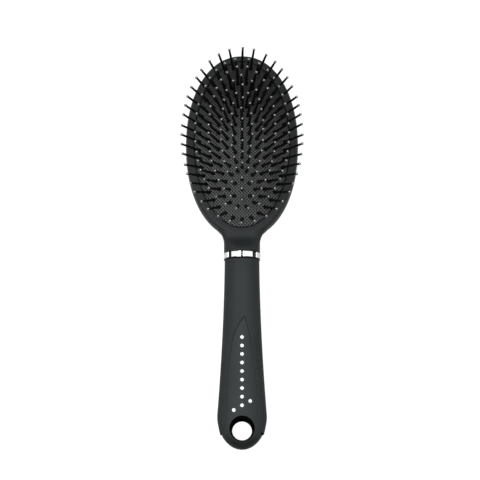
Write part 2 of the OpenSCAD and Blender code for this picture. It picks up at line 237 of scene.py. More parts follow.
def rolled_in(drawing, radius):
    """How deep the first end lies when its edge is rolled in with a radius."""
    short = np.maximum(radius - drawing[:, 1], 0)
    return radius - np.sqrt(np.maximum(radius ** 2 - short ** 2, 0))


# %% [markdown]
# Near a seam the triangles have to be small, so that its edge is round and not a step. The
# helper lays rows of points beside each line and fills the rest of the sheet with an even
# grid, without the points that would crowd a line.

# %% Triangles on the drawing
CROWDED, CROWDED_AT_BORDER, MARGIN = 0.3, 0.08, 0.05


def find_near(points):
    """A function for the distance from a place to the nearest of some points."""
    tree = KDTree(len(points))
    for i, p in enumerate(points):
        tree.insert((p[0], p[1], 0), i)
    tree.balance()
    return lambda p: tree.find((p[0], p[1], 0))[2]


def evenly(line, spacing):
    """The same line with points at an even spacing."""
    run = run_along(line)
    even = np.linspace(0, run[-1], max(2, int(round(run[-1] / spacing)) + 1))
    return np.stack([np.interp(even, run, line[:, 0]), np.interp(even, run, line[:, 1])], 1)


def beside(line, distance):
    """Points at a distance to one side of a line on the drawing."""
    ahead = unit(np.gradient(line, axis=0))
    return line + distance * np.stack([-ahead[:, 1], ahead[:, 0]], 1)


def triangulate(skin, lines, rows, empty, offsets=()):
    """Points and triangles outside the empty places, with an edge along every line."""
    across = np.linspace(0, skin.width, skin.columns + 1)
    grid = np.array([(u, v) for v in rows for u in across])
    grid = grid[~empty(grid)]
    extra = [beside(line, side * d) for line in lines for d in offsets for side in (-1, 1)]
    near = find_near(np.concatenate(lines + extra))
    border = (grid[:, 0] < 1e-6) | (grid[:, 0] > skin.width - 1e-6)
    needed = np.where(border, CROWDED_AT_BORDER, CROWDED)
    clear = np.array([near(p) > n for p, n in zip(grid, needed)])
    parts, edges, count = [grid[clear]], [], int(clear.sum())
    for line in lines:
        parts.append(line)
        edges += [(count + i, count + i + 1) for i in range(len(line) - 1)]
        count += len(line)
    far_corner = np.array([skin.width, skin.lengths[-1]]) - MARGIN
    parts += [row[(row > MARGIN).all(1) & (row < far_corner).all(1)] for row in extra]
    flat = [Vector((p[0], p[1])) for p in np.concatenate(parts)]
    found, _, faces, *_ = delaunay_2d_cdt(flat, edges, [], 0, 1e-5)
    found, faces = np.array([(v.x, v.y) for v in found]), np.array([tuple(f) for f in faces])
    return found, faces[~empty(found[faces].mean(1))]


print("drawing board ready")

# %% [markdown]
# ## The handle's shape
# The grip starts round under the collar and swells into a flat lobe round the hanging
# hole. Its section is a superellipse, a shape between an ellipse and a box. The solid of
# the frame follows the same formulas, so the new skin lies where it lies. The back rests
# on the floor, so no point goes below z = 0.

# %% Handle section
COLLAR_END, HANDLE_END, LOBE_LENGTH = -8.4, -120.0, 19.5
WIDEST = HANDLE_END + LOBE_LENGTH
TOP_HALF_WIDTH, LOBE_HALF_WIDTH, SWELL_POWER = 10.4, 14.6, 1.7
TOP_HALF_HEIGHT, LOBE_HALF_HEIGHT, LOBE_POWER = 10, 8.3, 2.4
SECTION_POWER, REST_CUT, NECK_AXIS = 2.2, 0.4, 11.5


def bend(value):
    return np.sign(value) * np.abs(value) ** (2 / SECTION_POWER)


def run_share(y):
    """0 under the collar, 1 from the handle's widest place on."""
    return np.clip((COLLAR_END - y) / (COLLAR_END - WIDEST), 0, 1)


def lobe_share(y):
    """0 up to the handle's widest place, 1 at its end."""
    return np.clip((WIDEST - y) / LOBE_LENGTH, 0, 1)


def handle_half_width(y):
    swell = run_share(y) ** SWELL_POWER
    return between(TOP_HALF_WIDTH, LOBE_HALF_WIDTH, swell) * np.sqrt(1 - lobe_share(y) ** 2)


def handle_half_height(y):
    flatter = between(TOP_HALF_HEIGHT, LOBE_HALF_HEIGHT, smooth_step(run_share(y)))
    return flatter * (1 - lobe_share(y) ** 3) ** (1 / LOBE_POWER)


def handle_section(turn, y):
    t = np.radians(turn)
    middle = between(NECK_AXIS, LOBE_HALF_HEIGHT - REST_CUT, smooth_step(run_share(y)))
    x = handle_half_width(y) * bend(np.cos(t))
    z = middle + handle_half_height(y) * bend(np.sin(t))
    return x, np.maximum(z, 0)


def handle_turn(x, y, front=True):
    """The turn at which the skin is at x, on its front or on its back."""
    share = np.clip(np.abs(x) / np.maximum(handle_half_width(y), 1e-6), 0, 1)
    turn = np.degrees(np.arccos(np.sign(x) * share ** (SECTION_POWER / 2)))
    return turn if front else 360 - turn


lobe_places = WIDEST - LOBE_LENGTH * np.sin(np.radians(np.arange(1, 46) * 2))
handle_places = np.concatenate([np.linspace(COLLAR_END, WIDEST, 120), lobe_places])
handle_skin = Skin(handle_section, handle_places, width=64, columns=84)
print("handle skin:", round(handle_skin.lengths[-1], 1), "mm along")

# %% [markdown]
# ## Seams on the handle
# A soft sleeve is moulded round the hard core. It is open on the front in a pointed arch,
# leaves a ring round the hanging hole on the back, and stops short of the end. All of that
# is one line on the drawing, with a fine groove along it, as every two-shot moulding has.
# At its end the sleeve stands a little proud of the core on both sides.

# %% Lines on the handle's drawing
ARCH_TOP, ARCH_FOOT, ARCH_HALF, GRIP_END = -43.1, -88.1, 9.0, -111.6
ARCH_RADIUS = ((ARCH_TOP - ARCH_FOOT) ** 2 + ARCH_HALF ** 2) / (2 * ARCH_HALF)
BLUNT, BLUNT_SHARE, LEG_SPREAD, SIDE_SHARE = 8, 0.42, 3.3, 0.985
ASKEW, ASKEW_SHARE, SAG = 1.5, 0.3, 0.4
HOLE_Y, HOLE_R, HOLE_LIP, RING_R = -109.0, 5.8, 1.6, 9.0


def arch_share(y):
    """0 at the arch's point, 1 at its foot."""
    return np.clip((ARCH_TOP - y) / (ARCH_TOP - ARCH_FOOT), 0, 1)


def arch_half_width(y):
    """Two arcs meet in the arch's blunt point, and its legs open again towards the end."""
    down, up = arch_share(y), np.maximum(y, ARCH_FOOT) - ARCH_FOOT
    arc = ARCH_HALF - ARCH_RADIUS + np.sqrt(np.maximum(ARCH_RADIUS ** 2 - up ** 2, 0))
    arc += BLUNT * down * np.maximum(0, 1 - down / BLUNT_SHARE)
    leg = LEG_SPREAD * np.clip((ARCH_FOOT - y) / (ARCH_FOOT - GRIP_END), 0, 1) ** 3
    return np.minimum(np.maximum(arc, 0) + leg, SIDE_SHARE * handle_half_width(y))


def arch_middle(y):
    """The sleeve was moulded a little askew: the arch's point stands right of the middle."""
    down = arch_share(y)
    return ASKEW * np.maximum(0, 1 - down / ASKEW_SHARE) ** 2 - SAG * np.sin(np.pi * down)


def circle(radius):
    a = np.linspace(0, 2 * np.pi, 121)
    return radius * np.cos(a), HOLE_Y + radius * np.sin(a)


def drawn(x, y, front=True):
    """Points on the handle's drawing from places on its front or its back."""
    return handle_skin.flat(handle_turn(x, y, front), y)


arch_y = np.concatenate([ARCH_TOP - 0.6 * np.linspace(0, 1, 12) ** 2,
                         np.linspace(ARCH_TOP - 0.7, GRIP_END, 160)])
right_leg = drawn(arch_middle(arch_y) + arch_half_width(arch_y), arch_y)
left_leg = drawn(arch_middle(arch_y) - arch_half_width(arch_y), arch_y)[::-1]
ring_start = math.asin((GRIP_END - HOLE_Y) / RING_R)
ring_turns = np.linspace(ring_start, math.pi - ring_start, 90)
ring_line = drawn(RING_R * np.cos(ring_turns), HOLE_Y + RING_R * np.sin(ring_turns), front=False)
end_v = handle_skin.flat([0], np.array([GRIP_END]))[0, 1]
ends = [[handle_skin.width, end_v]], [[0, end_v]]
seam = evenly(np.concatenate([ends[0], ring_line, left_leg, right_leg[1:], ends[1]]), 0.4)
front_hole = drawn(*circle(HOLE_R + HOLE_LIP))
back_hole = drawn(*circle(HOLE_R + HOLE_LIP), front=False)
print("seam of the sleeve:", round(float(run_along(seam)[-1])), "mm long")


# %% Triangles of the handle
GROOVE_DEPTH, GROOVE_WIDTH = (0.4, 0.65), (0.32, 0.82)
FLARE, FLARE_LENGTH, FLARE_SIDE = 0.7, 6.0, 0.75
SLEEVE_ROLL = 0.4


def near_hole(points, radius):
    body = handle_skin.lift(points)
    return np.hypot(body[:, 0], body[:, 1] - HOLE_Y) < radius


def in_hole(points):
    return near_hole(points, HOLE_R + HOLE_LIP)


def on_core(points):
    """True where a point of the drawing lies on the hard core."""
    x, y, _ = handle_skin.lift(points).T
    front = points[:, 0] < handle_skin.width / 2
    arch = front & (np.abs(x - arch_middle(y)) < arch_half_width(y)) & (y < ARCH_TOP)
    return arch | (~front & near_hole(points, RING_R)) | (y < GRIP_END)


edge_rows = np.array([0, 0.06, 0.14, 0.25, 0.42, 0.7])
handle_rows = np.concatenate([edge_rows, np.linspace(1.2, handle_skin.lengths[-1], 110)])
drawing, faces = triangulate(handle_skin, [seam, front_hole, back_hole], handle_rows, in_hole,
                             offsets=(0.1, 0.22, 0.4, 0.62, 0.86, 1.1))
core_side = on_core(drawing[faces].mean(1))

# The groove along the seam is deeper and wider at the sleeve's end
near_seam = find_near(evenly(seam, 0.1))
far = np.array([near_seam(p) for p in drawing])
at_end = smooth_step((drawing[:, 1] - end_v + 2.5) / 1.5)
groove = np.maximum(0, 1 - far / between(*GROOVE_WIDTH, at_end)) ** 2
depth = between(*GROOVE_DEPTH, at_end) * groove

# The flare of the sleeve's end, at its two sides
x, y, _ = handle_skin.lift(drawing).T
toward_seam = np.clip((GRIP_END + FLARE_LENGTH - y) / FLARE_LENGTH, 0, 1) ** 2
at_side = smooth_step((np.abs(x) / np.maximum(handle_half_width(y), 1) - FLARE_SIDE) / 0.2)
depth -= FLARE * toward_seam * at_side * (far > 0.05) * ~on_core(drawing)
depth += rolled_in(drawing, SLEEVE_ROLL)
handle_points = handle_skin.lift(drawing) + handle_skin.inward(drawing) * depth[:, None]
print("handle:", len(handle_points), "points,", len(faces), "triangles")

# %% [markdown]
# ## The hanging hole
# The hole has a rounded mouth on the front and one on the back. Each is a quarter round
# whose height follows the curved skin. Rings make both mouths and the wall between them,
# and the first and last ring share their points with the sheet.

# %% Tube through the lobe
def skin_height(x, y, front):
    return handle_section(handle_turn(x, y, front), y)[1]


def hole_mouth(turns, front):
    """Rings of one rounded mouth of the hole."""
    rings = []
    for a in turns:
        x, y = circle(HOLE_R + HOLE_LIP * (1 - np.sin(a)))
        down = HOLE_LIP * (1 - np.cos(a))
        rings.append((x, y, skin_height(x, y, front) + (-down if front else down)))
    return rings


front_mouth = hole_mouth(np.linspace(0, np.pi / 2, 9), True)
back_mouth = hole_mouth(np.linspace(np.pi / 2, 0, 9), False)
wall_x, wall_y, wall_top = front_mouth[-1]
wall = [(wall_x, wall_y, between(wall_top, back_mouth[0][2], share))
        for share in np.linspace(0, 1, 8)[1:-1]]
tube = np.array([np.stack(ring, 1)[:-1] for ring in front_mouth + wall + back_mouth])
core = make_piece("core", *with_rings(handle_points, faces[core_side], tube))
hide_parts("handle_core")

# %% [markdown]
# The sleeve is the other part of the same sheet. Under the collar its edge is rolled in
# and closed by a flat ring.

# %% Sleeve
closing = handle_skin.closing((0, COLLAR_END, NECK_AXIS), (SLEEVE_ROLL, 1.0, 2.4))
sleeve = make_piece("sleeve", *with_rings(handle_points, faces[~core_side], closing))
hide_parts("grip_sleeve")

# %% [markdown]
# ## The head's shape
# The head is an oval body with a rounded back and a rim, and the neck grows out of it. In
# the frame these are two bodies pushed into one another, with a crease where they meet. A
# mould has no such crease, so here both sections are measured from the same middle and
# joined with a soft maximum: where they are nearly equal, a small fillet fills the corner.

# %% Head section
HEAD_TOP, HEAD_END, NECK_END = 120.0, 5.6, -4.0
HEAD_HEIGHT, WAIST, BACK_ROUND, RIM_ROUND = 17.0, 10.0, 10.0, 2.2
WIDE_Y = HEAD_TOP - 0.492 * (HEAD_TOP - HEAD_END)
HALF_WIDTH, OVAL_POWER, SPLIT = 34.2, 2.14, 4.5
NECK_HALF, NECK_LIMIT, NECK_FLAT, FILLET = 10.8, 16, 4.5, 3.0
SHOULDER, SHOULDER_START, SHOULDER_RUN = 4, 1.57, 9.5
FADE, FADE_START, FADE_RUN = 8, 9, 6
FARTHEST, HALVINGS = 45.0, 32


def turned_in(share):
    """How far a quarter round has turned in at a share of its height."""
    return 1 - np.sqrt(np.clip(1 - share ** 2, 0, 1))


def in_head(x, y, z):
    low = BACK_ROUND * turned_in((WAIST - z) / WAIST)
    high = RIM_ROUND * turned_in((z - WAIST) / (HEAD_HEIGHT - WAIST))
    inset = np.where(z < WAIST, low, high)
    half_length = np.where(y > WIDE_Y, HEAD_TOP - WIDE_Y, WIDE_Y - HEAD_END)
    across, along = x / (HALF_WIDTH - inset), (y - WIDE_Y) / (half_length - inset)
    oval = np.abs(across) ** OVAL_POWER + np.abs(along) ** OVAL_POWER
    return (oval < 1) & (z > 0) & (z < HEAD_HEIGHT)


def in_neck(x, y, z):
    """A round neck that widens at the shoulders and flattens towards the head's front."""
    half = NECK_HALF + SHOULDER * (np.maximum(0, y - SHOULDER_START) / SHOULDER_RUN) ** 2
    flat = smooth_step((y - NECK_END) / (HEAD_END - NECK_END)) * (z > NECK_AXIS)
    power = between(2, NECK_FLAT, flat)
    up = (z - NECK_AXIS) / between(NECK_HALF, HEAD_HEIGHT - 0.1 - NECK_AXIS, flat)
    return (np.abs(x / half) ** power + np.abs(up) ** power < 1) & (y < NECK_LIMIT)


def section_middle(y):
    return between(NECK_AXIS, WAIST, smooth_step((y - 2) / 20))


def reach_of(inside, t, y):
    """How far a shape reaches from the middle of its section, by halving."""
    near, far = np.zeros(len(t)), np.full(len(t), FARTHEST)
    for _ in range(HALVINGS):
        mid = (near + far) / 2
        hit = inside(mid * np.cos(t), y, section_middle(y) + mid * np.sin(t))
        near, far = np.where(hit, mid, near), np.where(hit, far, mid)
    return near


def head_reach(t, y):
    """The larger of head and neck, with a fillet between them everywhere but on the front."""
    head = reach_of(in_head, t, y)
    fade = FADE * smooth_step((y - FADE_START) / FADE_RUN)
    neck = np.maximum(reach_of(in_neck, t, y) - fade, 0)
    on_front = smooth_step((np.sin(t) - 0.15) / 0.4)
    corner = np.maximum(FILLET - np.abs(head - neck), 0)
    corner = corner * (y < NECK_LIMIT) * (head > 0.01) * (1 - on_front)
    return np.maximum(head, neck) + corner ** 2 / (4 * FILLET)


# Turns are spread evenly over the widest section, or the flat rim would get too few
fine = np.radians(np.linspace(0, 360, 2881))
wide = head_reach(fine, np.full(len(fine), WIDE_Y))
spread = run_along(np.stack([wide * np.cos(fine), wide * np.sin(fine)], 1))
spread *= 360 / spread[-1]


def head_section(turn, y):
    t = np.interp(turn, spread, fine)
    reach = head_reach(t, np.asarray(y, float))
    return reach * np.cos(t), section_middle(y) + reach * np.sin(t)


def head_turn(x, y, z):
    return np.interp(np.arctan2(z - section_middle(y), x) % (2 * np.pi), fine, spread)


tip_places = WIDE_Y + (HEAD_TOP - WIDE_Y) * np.sin(np.radians(np.arange(1, 61) * 1.5))
head_places = np.concatenate([np.linspace(NECK_END, WIDE_Y, 140), tip_places])
head_skin = Skin(head_section, head_places, width=150, columns=168)
print("head skin:", round(head_skin.lengths[-1], 1), "mm along")

# %% [markdown]
# ## The head's mouth and its parting line
# The mouth for the cushion is an oval line on the drawing, and a few rings that step
# inwards and down round its edge. The head parts into a frame and a back cover on a flat
# plane, so there the finished sheet is simply cut. Both cut edges are turned in a little,
# which leaves the fine dark line of a parting.

# %% Mouth of the head
SEAM_HALF_WIDTH, SEAM_HALF_LENGTH, CUSHION_Y = 28.8, 52.0, 63.1
MOUTH_GAP, MOUTH_ROUND, NECK_ROLL = 0.3, 0.4, 0.25
LIP_OUT = MOUTH_GAP + MOUTH_ROUND


def lip_ring(grow, z):
    """A ring of points round the mouth, grown from the cushion's edge, at a height."""
    a = np.linspace(0, 2 * np.pi, 241)
    x, y = (SEAM_HALF_WIDTH + grow) * np.cos(a), CUSHION_Y + (SEAM_HALF_LENGTH + grow) * np.sin(a)
    return np.stack([x, y, np.full(len(x), z)], 1)


mouth = lip_ring(LIP_OUT, HEAD_HEIGHT)
mouth_line = head_skin.flat(head_turn(*mouth.T), mouth[:, 1])


def in_mouth(points):
    x, y, z = head_skin.lift(points).T
    across, along = x / (SEAM_HALF_WIDTH + LIP_OUT), (y - CUSHION_Y) / (SEAM_HALF_LENGTH + LIP_OUT)
    return (across ** 2 + along ** 2 < 1) & (z > WAIST)


head_rows = np.concatenate([edge_rows[:4], np.linspace(0.6, head_skin.lengths[-1], 165)])
head_drawing, head_faces = triangulate(head_skin, [mouth_line], head_rows, in_mouth)
neck_roll = rolled_in(head_drawing, NECK_ROLL)[:, None]
head_points = head_skin.lift(head_drawing) + head_skin.inward(head_drawing) * neck_roll
lip = [lip_ring(LIP_OUT - MOUTH_ROUND * np.sin(a), HEAD_HEIGHT - MOUTH_ROUND * (1 - np.cos(a)))
       for a in np.linspace(0, np.pi / 2, 7)]
lip += [lip_ring(MOUTH_GAP, HEAD_HEIGHT - drop) for drop in (1.2, 2.4)]
neck_closing = head_skin.closing((0, NECK_END, NECK_AXIS), (NECK_ROLL, 0.8, 2.6))
all_points, all_faces = with_rings(head_points, head_faces, np.array(lip)[:, :-1], neck_closing)
print("head:", len(all_points), "points,", len(all_faces), "faces")


# %% Cut the head at its parting plane
def cut_at_parting(work, side):
    """Keeps the side above the parting plane (1) or below it (-1), and turns its edge in."""
    plane, everything = SPLIT * MM, work.verts[:] + work.edges[:] + work.faces[:]
    bmesh.ops.bisect_plane(work, geom=everything, plane_co=(0, 0, plane), plane_no=(0, 0, 1),
                           clear_outer=side < 0, clear_inner=side > 0, dist=1e-7)
    work.normal_update()
    rim = [e for e in work.edges
           if e.is_boundary and all(abs(v.co.z - plane) < 1e-6 for v in e.verts)]
    for inset, rise in ((0.0, 0.12), (0.12, -0.1), (1.4, 0.0)):
        if inset:
            grown = bmesh.ops.extrude_edge_only(work, edges=rim)["geom"]
            rim = [g for g in grown if isinstance(g, bmesh.types.BMEdge)]
        for v in {v for e in rim for v in e.verts}:
            away = Vector((v.co.x, (v.co.y - WIDE_Y * MM) * 0.35, 0)).normalized()
            v.co -= away * inset * MM
            v.co.z += side * rise * MM
    bmesh.ops.recalc_face_normals(work, faces=work.faces)


head_shell, back_shell = [
    make_piece(name, all_points, all_faces, change=lambda work: cut_at_parting(work, side))
    for name, side in (("head_shell", 1), ("back_shell", -1))]
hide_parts("head_frame")
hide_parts("back_cover")

# %% [markdown]
# ## The rubber cushion
# The cushion is a thin dome held at its edge, and the air under it pushes back. Its crown
# is part of a barrel: an arc across, turned along a flatter arc. It is laid out in oval
# rings, and the last of them roll down into the seam.

# %% Cushion
CUSHION_RISE, CUSHION_ROLL, CUSHION_COLUMNS = 10.0, 0.6, 216
CROSS_R = (SEAM_HALF_WIDTH ** 2 + CUSHION_RISE ** 2) / (2 * CUSHION_RISE)
LONG_R = (SEAM_HALF_LENGTH ** 2 + CUSHION_RISE ** 2) / (2 * CUSHION_RISE)
BARREL_Z = HEAD_HEIGHT + CUSHION_RISE - CROSS_R


def barrel_radius(y):
    return CROSS_R - LONG_R + np.sqrt(LONG_R ** 2 - y ** 2)


def dome_height(x, y):
    """Height of the rubber at a place measured from the cushion's middle."""
    return BARREL_Z + np.sqrt(barrel_radius(y) ** 2 - x ** 2)


def cushion_ring(inset, share=1, drop=0, z=None):
    """A ring on the dome, or at a height z, as a share of the seam's oval less an inset."""
    a = np.linspace(0, 2 * np.pi, CUSHION_COLUMNS, endpoint=False)
    x = (SEAM_HALF_WIDTH - inset) * share * np.cos(a)
    y = (SEAM_HALF_LENGTH - inset) * share * np.sin(a)
    z = dome_height(x, y) - drop if z is None else np.full(CUSHION_COLUMNS, z)
    return np.stack([x, CUSHION_Y + y, z], 1)


rings = [cushion_ring(CUSHION_ROLL, share) for share in 1 - (1 - np.linspace(0, 1, 58)[1:]) ** 1.25]
rings += [cushion_ring(CUSHION_ROLL * (1 - np.sin(a)), drop=CUSHION_ROLL * 0.8 * (1 - np.cos(a)))
          for a in np.linspace(0, np.pi / 2, 7)[1:]]
rings += [cushion_ring(inset, z=z) for inset, z in ((0.05, 15.6), (0.25, 15.0), (0.3, 14.5))]
crown = [[0, CUSHION_Y, HEAD_HEIGHT + CUSHION_RISE]]
fan = [(0, 1 + i, 1 + (i + 1) % CUSHION_COLUMNS) for i in range(CUSHION_COLUMNS)]
cushion = make_piece("rubber_cushion", *with_rings(crown, fan, np.array(rings)))
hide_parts("cushion")
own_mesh(cushion)

# %% [markdown]
# ## Pins and ball tips
# Each pin is a turned shape: a head under the rubber, a stem, a foot on the rubber, and a
# shaft that tapers to the tip. The tips are drops of resin that run down onto the shaft a
# little. One profile is turned once and copied to every place, square to the dome but for
# a small lean, since no pin of a real brush stands quite true. Pins of one ring move
# together, so each ring is one piece on its own body.

# %% Profiles
PIN_LENGTH, TIP_R, PIN_SIDES, TIP_SIDES = 18.4, 0.85, 14, 18
pin_profile = np.array([
    (0, -1.95), (1.0, -1.95), (1.2, -1.8), (1.2, -1.3), (0.6, -1.25), (0.6, 0.0), (1.1, 0.03),
    (1.18, 0.1), (1.18, 0.34), (1.14, 0.55), (1.07, 1.0), (0.99, 1.7), (0.92, 2.5),
    (0.86, 3.3), (0.82, 4.2), (0.79, 6.0), (0.74, 10.0), (0.69, 14.0), (0.62, 18.2)])
tip_turns = np.radians(np.linspace(-48, 90, 12))
tip_profile = np.concatenate([
    [(0.63, PIN_LENGTH - 1.3), (0.65, PIN_LENGTH - 1.1), (0.655, PIN_LENGTH - 0.9)],
    np.stack([TIP_R * np.cos(tip_turns), PIN_LENGTH + TIP_R * np.sin(tip_turns)], 1)])


def turned(profile, sides):
    """Rings of points of a turned shape that stands on the origin."""
    a = np.linspace(0, 2 * np.pi, sides, endpoint=False)
    return np.array([[(r * math.cos(t), r * math.sin(t), z) for t in a] for r, z in profile])


# %% Places of the pins
ROW_PINS, ROW_LENGTH = 7, 35.2
MOST_LEAN = math.tan(math.radians(1.8))
RINGS = [(18, 0.146, 0.481, 0.0), (24, 0.306, 0.588, 0.0), (33, 0.486, 0.696, 0.0),
         (38, 0.684, 0.783, 0.5), (44, 0.889, 0.913, 0.0)]


def ring_places(pins, width_share, length_share, start):
    """Places at even distances along an oval, from its handle end and round again."""
    def on_oval(t):
        return np.stack([width_share * SEAM_HALF_WIDTH * np.sin(t),
                         -length_share * SEAM_HALF_LENGTH * np.cos(t)], 1)
    t = np.radians(np.linspace(0, 360, 181))
    run = run_along(on_oval(t))
    return on_oval(np.interp((np.arange(pins) + start) / pins * run[-1], run, t))


def stand_on_dome(rings, place, lean):
    """The shape at a place on the dome, square to it but for a small lean to one side."""
    x, y = place
    radius = barrel_radius(y)
    along, height = radius * y / math.sqrt(LONG_R ** 2 - y ** 2), math.sqrt(radius ** 2 - x ** 2)
    up = Vector((x, along, height)).normalized() + Vector((-y, x, 0)).normalized() * lean
    tilt = np.array(Vector((0, 0, 1)).rotation_difference(up.normalized()).to_matrix())
    return (rings @ tilt.T + [x, CUSHION_Y + y, dome_height(x, y)]).reshape(-1, 3)


def planted(name, profile, sides, places, body):
    shape = turned(profile, sides)
    leans = np.random.default_rng(len(places)).uniform(-MOST_LEAN, MOST_LEAN, len(places))
    standing = [stand_on_dome(shape, place, lean) for place, lean in zip(places, leans)]
    return make_piece(name, *repeated(standing, strips(shape)), body)


row = np.stack([np.zeros(ROW_PINS), np.linspace(-0.5, 0.5, ROW_PINS) * ROW_LENGTH], 1)
groups = {"centre": ("centre_row", row)}
for number, ring in enumerate(RINGS, 1):
    groups[f"ring_{number}"] = (f"ring_{number}", ring_places(*ring))
pins, tips = [], []
for group, (body, places) in groups.items():
    pins.append(planted(f"shafts_{group}", pin_profile, PIN_SIDES, places, body))
    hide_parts(f"pins_{group}")
    tips.append(planted(f"drops_{group}", tip_profile, TIP_SIDES, places, body))
    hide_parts(f"tips_{group}")
print("pins in all:", sum(len(places) for _, places in groups.values()))

# %% [markdown]
# ## Collar and plates
# The collar is a turned black ring with a groove all round, and nine curved plates lie in
# the groove. A plated part never has a truly sharp edge: without a bevel there would be no
# bright line along it. Plates are laid in one by one, so those at the front stand a few
# degrees off their even places.

# %% Collar
COLLAR_TOP, COLLAR_LENGTH, COLLAR_R = -4.0, 4.4, 10.9
PLATE_HEIGHT, PLATE_THICKNESS, PLATES, PLATE_GAP = 3.4, 0.9, 9, 1.7
PLATE_IN_R = COLLAR_R - PLATE_THICKNESS / 2
COLLAR_LIP = (COLLAR_LENGTH - PLATE_HEIGHT) / 2
SET_OFF = {0: -1.5, 1: 0.4, 7: -3.7, 8: 1.65}
SLACK, COLLAR_SIDES = 0.05, 128


def lengthwise(rings):
    """A turned shape laid along the brush, with its start under the neck."""
    return np.stack([rings[..., 0], COLLAR_TOP - SLACK - rings[..., 2],
                     NECK_AXIS + rings[..., 1]], -1)


half = [(7.6, 0.0), (COLLAR_R - 0.5, 0.0), (COLLAR_R - 0.2, 0.06), (COLLAR_R, 0.22),
        (COLLAR_R, 0.36), (COLLAR_R - 0.06, 0.43), (PLATE_IN_R, 0.45)]
mirrored = [(r, COLLAR_LENGTH - 2 * SLACK - z) for r, z in reversed(half)]
shape = lengthwise(turned(half + mirrored, COLLAR_SIDES))
collar = make_piece("collar_ring", shape.reshape(-1, 3), strips(shape), sharp=40)
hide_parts("collar")


# %% Plates
PLATE_COLUMNS, PLATE_ROWS, BEVEL, BEVEL_ANGLE = 20, 8, 0.16, 60


def plate_rings(number):
    """Rings round a curved slab, each out along its outer face and back along its inner one."""
    span = 2 * math.pi / PLATES - PLATE_GAP / COLLAR_R
    middle = math.pi / 2 + 2 * math.pi * (number + 0.5) / PLATES
    middle += math.radians(SET_OFF.get(number, 0))
    turns = [middle + span * (i / PLATE_COLUMNS - 0.5) for i in range(PLATE_COLUMNS + 1)]
    ring = [(PLATE_IN_R + PLATE_THICKNESS, t) for t in turns]
    ring += [(PLATE_IN_R, t) for t in reversed(turns)]
    rows = [COLLAR_LIP + (PLATE_HEIGHT - 3 * SLACK) * j / PLATE_ROWS for j in range(PLATE_ROWS + 1)]
    return lengthwise(np.array([[(r * math.cos(t), r * math.sin(t), z) for r, t in ring]
                                for z in rows]))


slabs = [plate_rings(number) for number in range(PLATES)]
around = len(slabs[0][0])
slab_faces = strips(slabs[0])
for start in (0, PLATE_ROWS * around):
    slab_faces += [(start + i, start + i + 1, start + around - 2 - i, start + around - 1 - i)
                   for i in range(PLATE_COLUMNS)]


def bevel(work):
    bmesh.ops.bevel(work, geom=sharp_edges(work, BEVEL_ANGLE), offset=BEVEL * MM, segments=3,
                    profile=0.5, affect="EDGES")
    for edge in work.edges:
        edge.smooth = True


plate_points, plate_faces = repeated([slab.reshape(-1, 3) for slab in slabs], slab_faces)
plates = make_piece("plates", plate_points, plate_faces, sharp=BEVEL_ANGLE, change=bevel)
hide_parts("collar_plates")

# %% [markdown]
# ## The stones
# Eleven round stones sit in pockets along the arch. A stone looks bright because each of
# its flat facets mirrors another part of the room, so no face is shaded smoothly. The cut
# is the simplest round one: a table, eight facets round it and sixteen at the girdle.

# %% Stones
STONES, STONE_PITCH, FIRST_STONE, STONE_R = 9, 4.94, ARCH_TOP - 12.2, 1.15
stone_places = [(0, FIRST_STONE - i * STONE_PITCH) for i in range(STONES)]
stone_places += [(side * 0.965 * STONE_PITCH, FIRST_STONE - (STONES - 1 + late) * STONE_PITCH)
                 for side, late in ((1, -0.5), (-1, 0.56))]


def stone_shape():
    levels = [(STONE_R * 0.86, -0.85, 16, 0), (STONE_R, -0.05, 16, 0), (STONE_R, 0.2, 16, 0),
              (STONE_R * 0.8, 0.52, 8, 0.5), (STONE_R * 0.5, 0.72, 8, 0)]
    points, index = [], []
    for r, z, sides, shift in levels:
        turns = [2 * math.pi * (i + shift) / sides for i in range(sides)]
        index.append(range(len(points), len(points) + sides))
        points += [(r * math.cos(t), r * math.sin(t), z) for t in turns]
    faces = []
    for low, high in zip(index[:2], index[1:3]):
        faces += [(low[i], low[(i + 1) % 16], high[(i + 1) % 16], high[i]) for i in range(16)]
    girdle, crown, table = index[2:]
    for i in range(8):
        a, b, c = girdle[2 * i], girdle[2 * i + 1], girdle[(2 * i + 2) % 16]
        faces += [(a, b, crown[i]), (b, c, crown[i]), (crown[i - 1], a, crown[i], table[i])]
        faces.append((crown[i], table[(i + 1) % 8], table[i]))
    return np.array(points), faces + [tuple(table), tuple(reversed(index[0]))]


def on_handle(points, place):
    """Stands a small shape on the handle's front, tilted as the skin is there."""
    (x, y), step = place, 0.05
    left, height, right = skin_height(np.array([x - step, x, x + step]), np.full(3, y), True)
    slope = math.atan2(right - left, 2 * step)
    c, s = math.cos(slope), math.sin(slope)
    across, along, up = points.T
    return np.stack([across * c - up * s, along, across * s + up * c], 1) + [x, y, height]


cut, cut_faces = stone_shape()
stones = make_piece("stones", *repeated([on_handle(cut, p) for p in stone_places], cut_faces))
for polygon in stones.data.polygons:
    polygon.use_smooth = False
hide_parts("studs")

# %% [markdown]
# ## Finishes written as sums
# A finish is a small sum over the surface: a base value, plus some unevenness, minus some
# wear. The class below wraps one output of a node, so that Python's own signs add the Math
# nodes. Every other node comes from one method: its type, its settings, then its sockets.

